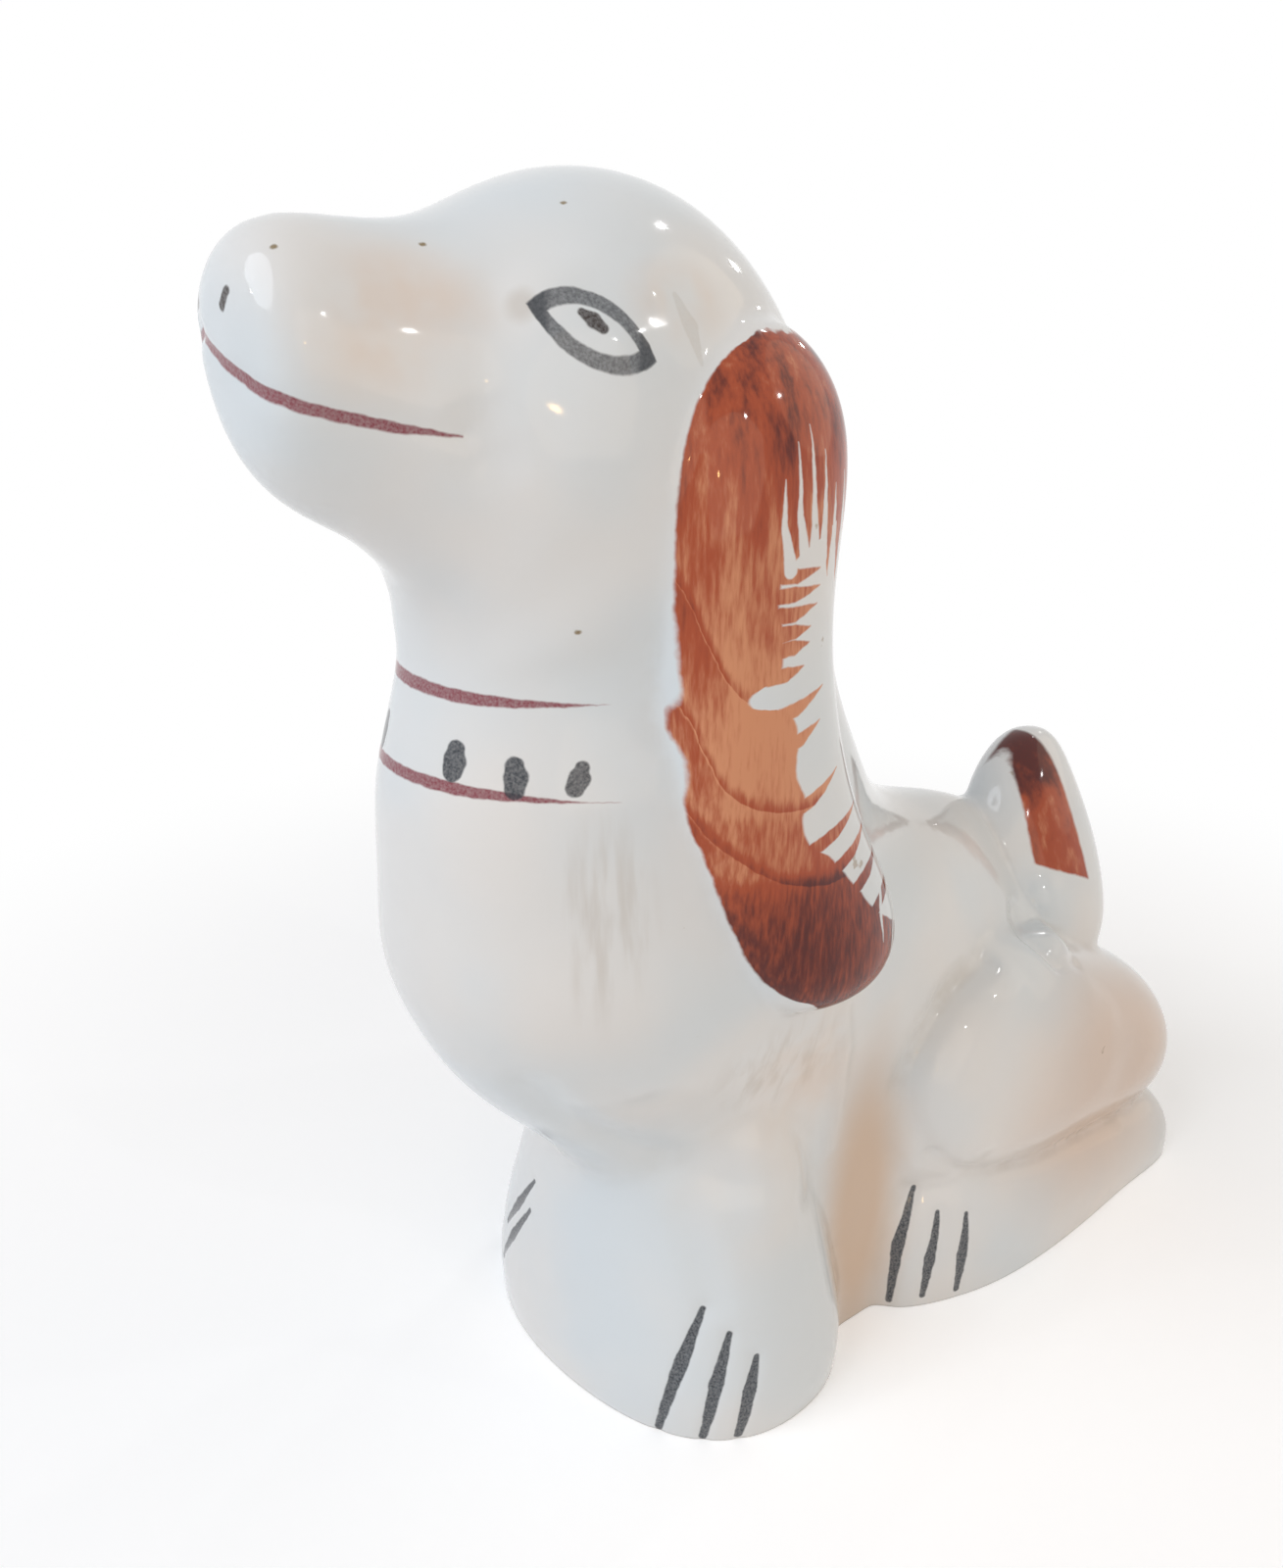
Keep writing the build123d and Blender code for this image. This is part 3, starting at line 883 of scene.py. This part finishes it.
    def _closeness(self, place: np.ndarray, form: Relief) -> np.ndarray:
        """How deep each place lies in a form: 1 on its line and 0 from its radius on.

        Args:
            place: The places in millimetres.
            form: The form.

        Returns:
            One number per place.
        """
        folded = place.copy()
        if form.side is Side.BOTH:
            folded[:, 0] = abs(folded[:, 0])
        nearest = np.full(len(place), np.inf)
        for a, b in zip(form.line, form.line[1:]):
            start, run = np.array(a), np.subtract(b, a)
            share = np.clip((folded - start) @ run / (run @ run), 0, 1)
            nearest = np.minimum(nearest, np.linalg.norm(folded - start - share[:, None] * run, axis=1))
        depth = np.clip(1 - nearest / form.radius, 0, 1)
        return depth * depth * (3 - 2 * depth)

    def _cut_foot(self, bm: bmesh.types.BMesh) -> None:
        """Cut the skirt off flat and close the foot round the vent.

        Args:
            bm: The skin.
        """
        level = self.foot_mm * MM
        cut = bmesh.ops.bisect_plane(bm, geom=[*bm.verts, *bm.edges, *bm.faces], plane_co=(0, 0, level),
                                     plane_no=(0, 0, 1), clear_inner=True)["geom_cut"]
        rim = [e for e in cut if isinstance(e, bmesh.types.BMEdge)]
        low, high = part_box(self.slab)
        place = Matrix.Translation((0, (low.y + high.y) / 2, level))
        ring = bmesh.ops.create_circle(bm, segments=self.vent_sides, radius=self.vent_mm / 2 * MM,
                                       matrix=place)["verts"]
        vent = list({e for v in ring for e in v.link_edges})
        bmesh.ops.triangle_fill(bm, use_beauty=True, edges=rim + vent, normal=(0, 0, -1))
        walls = bmesh.ops.extrude_edge_only(bm, edges=vent)["geom"]
        top = [v for v in walls if isinstance(v, bmesh.types.BMVert)]
        bmesh.ops.translate(bm, verts=top, vec=(0, 0, self.vent_depth_mm * MM))
        bmesh.ops.holes_fill(bm, edges=[e for e in walls if isinstance(e, bmesh.types.BMEdge)], sides=0)
        bmesh.ops.recalc_face_normals(bm, faces=bm.faces)

    def _hollow_depths(self, bm: bmesh.types.BMesh) -> np.ndarray:
        """How hollow the skin is at each vertex, in millimetres, over about a finger's width; this sets where
        shade is painted.

        Args:
            bm: The skin, with its indices in order.

        Returns:
            One number per vertex, above 0 in hollows.
        """
        place = np.array([v.co for v in bm.verts]) / MM
        facing = np.array([v.normal for v in bm.verts])
        ends = np.array([(e.verts[0].index, e.verts[1].index) for e in bm.edges])
        count = np.bincount(ends.ravel(), minlength=len(place)).astype(float)
        mean = place.copy()
        for _ in range(self.hollow_passes):
            total = np.zeros_like(mean)
            for axis in range(3):
                total[:, axis] = (np.bincount(ends[:, 0], mean[ends[:, 1], axis], len(place))
                                  + np.bincount(ends[:, 1], mean[ends[:, 0], axis], len(place)))
            mean = (1 - self.hollow_share) * mean + self.hollow_share * total / count[:, None]
        return np.einsum("ij,ij->i", mean - place, facing)

    def _shared_out(self, bm: bmesh.types.BMesh) -> list[bpy.types.Object]:
        """Share the faces of the skin out to the clay pieces that lie under them.

        Args:
            bm: The skin.

        Returns:
            One object per clay piece that shows.
        """
        bm.verts.index_update()
        hollow_depth = self._hollow_depths(bm)
        under = {name: BVHTree.FromPolygons([v.co for v in node.data.vertices],
                                            [list(f.vertices) for f in node.data.polygons])
                 for name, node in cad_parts.items() if name != self.slab}
        shares: dict[str, list] = {name: [] for name in under}
        for face in bm.faces:
            middle = face.calc_center_median()
            gaps = {name: tree.find_nearest(middle)[3] for name, tree in under.items()}
            shares[min(gaps, key=gaps.get)].append(face)
        return [self._piece(name, faces, hollow_depth) for name, faces in shares.items()]

    def _piece(self, name: str, faces: list[bmesh.types.BMFace], hollow_depth: np.ndarray) -> bpy.types.Object:
        """One piece of skin, shaded with the normals of the whole skin so that no seam shows.

        Args:
            name: The node that the piece covers.
            faces: Its faces of the skin.
            hollow_depth: How hollow the skin is at each of its vertices.

        Returns:
            The piece.
        """
        verts = list(dict.fromkeys(v for f in faces for v in f.verts))
        order = {v.index: i for i, v in enumerate(verts)}
        mesh = bpy.data.meshes.new(name + "_skin")
        mesh.from_pydata([v.co for v in verts], [], [[order[v.index] for v in f.verts] for f in faces])
        mesh.shade_smooth()
        hollow = mesh.attributes.new("hollow_depth", "FLOAT", "POINT")
        hollow.data.foreach_set("value", np.array([hollow_depth[v.index] for v in verts], dtype=np.float32))
        level = 2 * self.foot_mm * MM
        soles = np.array([f.normal.z < self.sole_facing and f.calc_center_median().z < level
                          for f in faces])
        mesh.polygons.foreach_set("material_index", soles.astype(np.int32))
        mesh.polygons.foreach_set("use_smooth", ~soles)
        mesh.normals_split_custom_set_from_vertices([v.normal for v in verts])
        LOG.info("%s: %d faces", mesh.name, len(faces))
        return placed(mesh.name, mesh)

    def dress(self, pieces: list[bpy.types.Object], clay: bpy.types.Material) -> None:
        """Give the skin its painted glaze, its slots and its place in the frame.

        Args:
            pieces: The pieces of skin.
            clay: The bare clay of the soles.
        """
        glaze = self._material()
        for piece in pieces:
            node = piece.name.removesuffix("_skin")
            piece.data.materials.append(glaze)
            piece.data.materials.append(clay)
            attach(piece, BODY)
            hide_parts(node)

    def _material(self) -> bpy.types.Material:
        """Lead-glazed earthenware: a clear glassy coat over a cream body and underglaze painting.

        Returns:
            The material.
        """
        mat = new_material("painted_earthenware_glaze")
        t = mat.node_tree
        p = Palette(t, self.surface)
        colour = self._marks(p, self._washes(p, self._ground(p)))
        level = p.noise(self.glaze.ripple_mm, 1.5)
        bump = add(t, "Bump", {"Strength": self.glaze.ripple_strength, "Height": level,
                               "Distance": self.glaze.ripple_depth_mm * MM})
        gloss = add(t, "MapRange", {0: p.noise(14.0, 3.0), 1: 0.3, 2: 0.7, 3: self.glaze.smoothest,
                                    4: self.glaze.roughest})
        shader = add(t, "BsdfPrincipled", {"Base Color": colour, "Roughness": gloss, "IOR": self.glaze.ior,
                                           "Specular IOR Level": self.glaze.shine, "Normal": bump})
        add(t, "OutputMaterial", {"Surface": shader})
        return mat

    def _ground(self, p: Palette) -> Socket:
        """The white ground with its cool drifts, stains and pinholes, and painted warm reflections, warm
        bounce and shade.

        Args:
            p: The palette that holds the positions.

        Returns:
            The colour socket.
        """
        t, g = p.tree, self.glaze
        colour = p.blend(p.step(p.noise(34.0, 2.0), 0.35, 0.65), linear(g.cream), linear(g.cool))
        cloud = p.step(p.noise(11.0, 3.0), 0.25, 0.7)
        # Painted warm reflection on the muzzle, brow and chest side.
        warm = p.either(*[p.near(*spot) for spot in WARM_REFLECTIONS])
        colour = p.blend(p.both(warm, cloud, 0.62), colour, linear(g.warm_reflection))
        tear = p.both(p.near(*TEAR_STAIN), 0.25)
        colour = p.blend(tear, colour, linear(g.stain_and_shade))
        # Painted warm bounce light on the rump and haunch.
        rump = p.both(p.near(*RUMP_WARM_BOUNCE), 0.6)
        colour = p.blend(rump, colour, linear(g.flush))
        # Painted warm shade in the recess behind the foreleg.
        colour = p.blend(p.both(p.near(*LEG_NOOK_SHADE), 0.72), colour, linear(g.tan))
        drips = p.step(p.noise(2.2, 3.0, (1.0, 1.0, 7.0)), 0.42, 0.7)
        chest = p.either(*[p.near(*spot) for spot in CHEST_DRIPS])
        colour = p.blend(p.both(chest, drips, 0.22), colour, linear(g.stain_and_shade))
        # Painted shade: the stain colour laid thinly into the hollows of the skin, where shade falls.
        hollow = add(t, "Attribute", out="Fac", attribute_name="hollow_depth")
        stain_and_shade = p.both(p.step(hollow, 0.25, 1.1), p.step(p.noise(6.0, 4.0), 0.3, 0.7), 0.2)
        colour = p.blend(stain_and_shade, colour, linear(g.stain_and_shade))
        pits = p.step(p.noise(g.pinhole_mm, 9.0), 0.735, 0.76)
        return p.blend(p.both(pits, 0.6), colour, linear(g.stain_and_shade))

    def _washes(self, p: Palette, colour: Socket) -> Socket:
        """Rust patches on ears and tail, over the ground.

        Args:
            p: The palette that holds the positions.
            colour: The colour below.

        Returns:
            The colour socket.
        """
        ear = EarPatch()
        marks = {pigment: [p.mark(m) for m in brush_marks() if m.pigment is pigment]
                 for pigment in (Pigment.RUST, Pigment.BARE)}
        patch = p.either(ear.mask(p), *marks[Pigment.RUST])
        kept = p.less(1.0, p.either(*marks[Pigment.BARE]))
        colour = p.blend(p.both(patch, kept), colour, ear.tone(p, self.rust))
        tail = TailPatch()
        return p.blend(tail.mask(p), colour, tail.tone(p, self.rust))

    def _marks(self, p: Palette, colour: Socket) -> Socket:
        """Line work: eyes, mouth, collar, studs, nostrils and toes.

        Args:
            p: The palette that holds the positions.
            colour: The colour below.

        Returns:
            The colour socket.
        """
        t = p.tree
        line, corners = EyePaint().masks(p)
        thin = add(t, "MapRange", {0: p.noise(0.32, 3.0), 1: 0.3, 2: 0.7, 3: 1.0, 4: 0.78})
        colour = p.blend(p.both(line, thin, 0.88), colour, linear(Pigment.CHARCOAL.value))
        colour = p.blend(p.both(corners, 0.7), colour, linear(Pigment.CHARCOAL.value))
        colour = p.blend(p.both(CollarPaint().mask(p), thin), colour, linear(Pigment.MAUVE.value))
        for pigment in (Pigment.STAIN, Pigment.CHARCOAL, Pigment.MAUVE, Pigment.UMBER):
            found = [p.both(p.mark(m), m.strength) for m in brush_marks() if m.pigment is pigment]
            colour = p.blend(p.both(p.either(*found), thin), colour, linear(pigment.value))
        return colour


@dataclass
class ClayFoot:
    """The bare slab that closes the bottom, drawn in a little from the glazed skin."""

    node: str = "base_slab"
    inset: float = 0.965
    finish: ClayFinish = field(default_factory=ClayFinish)

    def build(self) -> bpy.types.Object:
        """A copy of the slab's mesh, narrowed about its middle.

        Returns:
            The slab object.
        """
        bm = bmesh.new()
        bm.from_mesh(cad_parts[self.node].data)
        bmesh.ops.remove_doubles(bm, verts=bm.verts, dist=WELD_MM * MM)
        low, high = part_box(self.node)
        middle = Matrix.Translation((low + high) / -2)
        bmesh.ops.scale(bm, verts=bm.verts, vec=(self.inset, self.inset, 1.0), space=middle)
        made = poured("clay_foot", bm)
        LOG.info("%s: %d faces", made.name, len(made.data.polygons))
        return made

    def material(self) -> bpy.types.Material:
        """Biscuit-fired clay, wiped clean of glaze.

        Returns:
            The material.
        """
        mat = new_material("bare_biscuit_clay")
        t = mat.node_tree
        coords = add(t, "TexCoord", out="Object")
        where = add(t, "VectorMath", {0: coords, "Scale": 1 / MM}, operation="SCALE")
        grain = add(t, "TexNoise", {"Vector": where, "Scale": 1 / self.finish.grain_mm, "Detail": 4.0})
        cloud = add(t, "TexNoise", {"Vector": where, "Scale": 0.08, "Detail": 3.0})
        mixed = maths(t, "MULTIPLY", grain, cloud)
        share = add(t, "MapRange", {0: mixed, 1: 0.12, 2: 0.4})
        colour = add(t, "Mix", {0: share, 6: linear(self.finish.dark), 7: linear(self.finish.pale)}, out=2,
                     data_type="RGBA")
        bump = add(t, "Bump", {"Strength": 0.4, "Distance": 0.1 * MM, "Height": grain})
        shader = add(t, "BsdfPrincipled", {"Base Color": colour, "Roughness": self.finish.roughness,
                                           "Normal": bump})
        add(t, "OutputMaterial", {"Surface": shader})
        return mat

    def dress(self, foot: bpy.types.Object, clay: bpy.types.Material) -> None:
        """Give the slab its clay and its place in the frame.

        Args:
            foot: The slab object.
            clay: The clay material.
        """
        foot.data.materials.clear()
        foot.data.materials.append(clay)
        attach(foot, BODY)
        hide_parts(self.node)


@dataclass(frozen=True)
class Lamp:
    """A round soft lamp: its place and diameter in millimetres, its power in watts and its colour."""

    name: str
    place: Point
    size: float
    power: float
    colour: str = "#FFFFFF"


LAMPS = (
    Lamp("key", (-120, -880, 860), 900, 6.6, "#F0F6FF"),
    Lamp("fill", (900, -200, 300), 900, 1.9, "#FFE6CC"),
    Lamp("back", (420, 760, 560), 900, 1.3, "#FFE6C8"),
    Lamp("bulb_0", (745, 26, 603), 30, 0.18),
    Lamp("bulb_1", (596, 433, 616), 30, 0.18),
    Lamp("bulb_2", (-50, 576, 789), 30, 0.18),
    Lamp("bulb_3", (-182, 788, 495), 30, 0.18),
    Lamp("bulb_4", (-250, -700, 420), 30, 0.18),
    Lamp("warm_bulb_0", (740, -360, 290), 26, 0.08, "#FFD08A"),
)


@dataclass
class Studio:
    """Pale floor, soft lamps and the camera of the photograph."""

    camera_mm: Point = (120.89, -130.43, 155.88)
    azimuth: float = 49.22
    pitch: float = 22.1
    lens_mm: float = 29.6
    sensor_mm: float = 36.0
    clip_mm: float = 5.0
    aim_mm: float = 80.0
    floor_mm: float = 4000.0
    paper: str = "#F1F1F1"
    lift: float = 0.3
    near_mm: float = 110.0
    far_mm: float = 260.0
    sky: float = 0.33

    def build(self) -> None:
        """Set up the floor, the world, the lamps and the camera."""
        self._floor()
        self._world()
        for lamp in LAMPS:
            self._light(lamp)
        self._camera()

    def _floor(self) -> None:
        """A pale paper floor that keeps the shadow and runs out into white."""
        bm = bmesh.new()
        bmesh.ops.create_grid(bm, x_segments=1, y_segments=1, size=self.floor_mm * MM)
        floor = poured("paper_floor", bm)
        mat = new_material("white_paper")
        t = mat.node_tree
        place = add(t, "TexCoord", out="Object")
        away = vectors(t, "LENGTH", place)
        far = add(t, "MapRange", {0: away, 1: self.near_mm * MM, 2: self.far_mm * MM},
                  interpolation_type="SMOOTHSTEP")
        seen = self._seen(t)
        white = maths(t, "MULTIPLY", far, seen)
        matte = add(t, "BsdfDiffuse", {"Color": linear(self.paper)})
        glow = maths(t, "MULTIPLY", seen, self.lift)
        raised = add(t, "Emission", {"Color": (1, 1, 1, 1), "Strength": glow})
        lit = add(t, "AddShader", {0: matte, 1: raised})
        paper = add(t, "Emission", {"Color": (1, 1, 1, 1), "Strength": 1.0})
        add(t, "OutputMaterial", {"Surface": add(t, "MixShader", {0: white, 1: lit, 2: paper})})
        floor.data.materials.append(mat)
        floor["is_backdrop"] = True

    def _seen(self, t: bpy.types.NodeTree) -> Socket:
        """1 for rays from the camera, from gloss and through glass.

        Args:
            t: The node tree that asks.

        Returns:
            The socket.
        """
        path = t.nodes.new("ShaderNodeLightPath").outputs
        gloss = maths(t, "MAXIMUM", path["Is Camera Ray"], path["Is Glossy Ray"])
        return maths(t, "MAXIMUM", gloss, path["Is Transmission Ray"])

    def _world(self) -> None:
        """White where it is seen, a soft grey sky where it lights."""
        world = bpy.data.worlds.new("studio")
        bpy.context.scene.world = world
        world.use_nodes = True
        t = world.node_tree
        t.nodes.clear()
        strength = add(t, "MapRange", {0: self._seen(t), 3: self.sky, 4: 1.0})
        sky = add(t, "Background", {"Color": (1, 1, 1, 1), "Strength": strength})
        add(t, "OutputWorld", {"Surface": sky})

    def _light(self, lamp: Lamp) -> None:
        """Hang a lamp and turn it to the figure.

        Args:
            lamp: The lamp.
        """
        data = bpy.data.lights.new(lamp.name, "AREA")
        data.shape = "DISK"
        data.size = lamp.size * MM
        data.energy = lamp.power
        data.color = linear(lamp.colour)[:3]
        made = placed(lamp.name, data)
        made.location = Vector(lamp.place) * MM
        aim = Vector((0, 0, self.aim_mm * MM)) - made.location
        made.rotation_euler = aim.to_track_quat("-Z", "Y").to_euler()

    def _camera(self) -> None:
        """The camera at the photograph's viewing angle."""
        data = bpy.data.cameras.new("view")
        data.lens = self.lens_mm
        data.sensor_width = self.sensor_mm
        data.clip_start = self.clip_mm * MM
        camera = placed("view", data)
        camera.location = Vector(self.camera_mm) * MM
        camera.rotation_euler = Euler((radians(90 - self.pitch), 0, radians(self.azimuth)))
        bpy.context.scene.camera = camera


def main() -> None:
    """Build and dress the figure, then set the studio round it."""
    logging.basicConfig(level=logging.INFO, format="%(name)s: %(message)s")
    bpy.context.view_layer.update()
    bpy.context.scene.view_settings.view_transform = "Standard"
    foot = ClayFoot()
    slab, clay = foot.build(), foot.material()
    foot.dress(slab, clay)
    figure = Figure()
    figure.dress(figure.build(), clay)
    Studio().build()


if __name__ == "__main__":
    main()
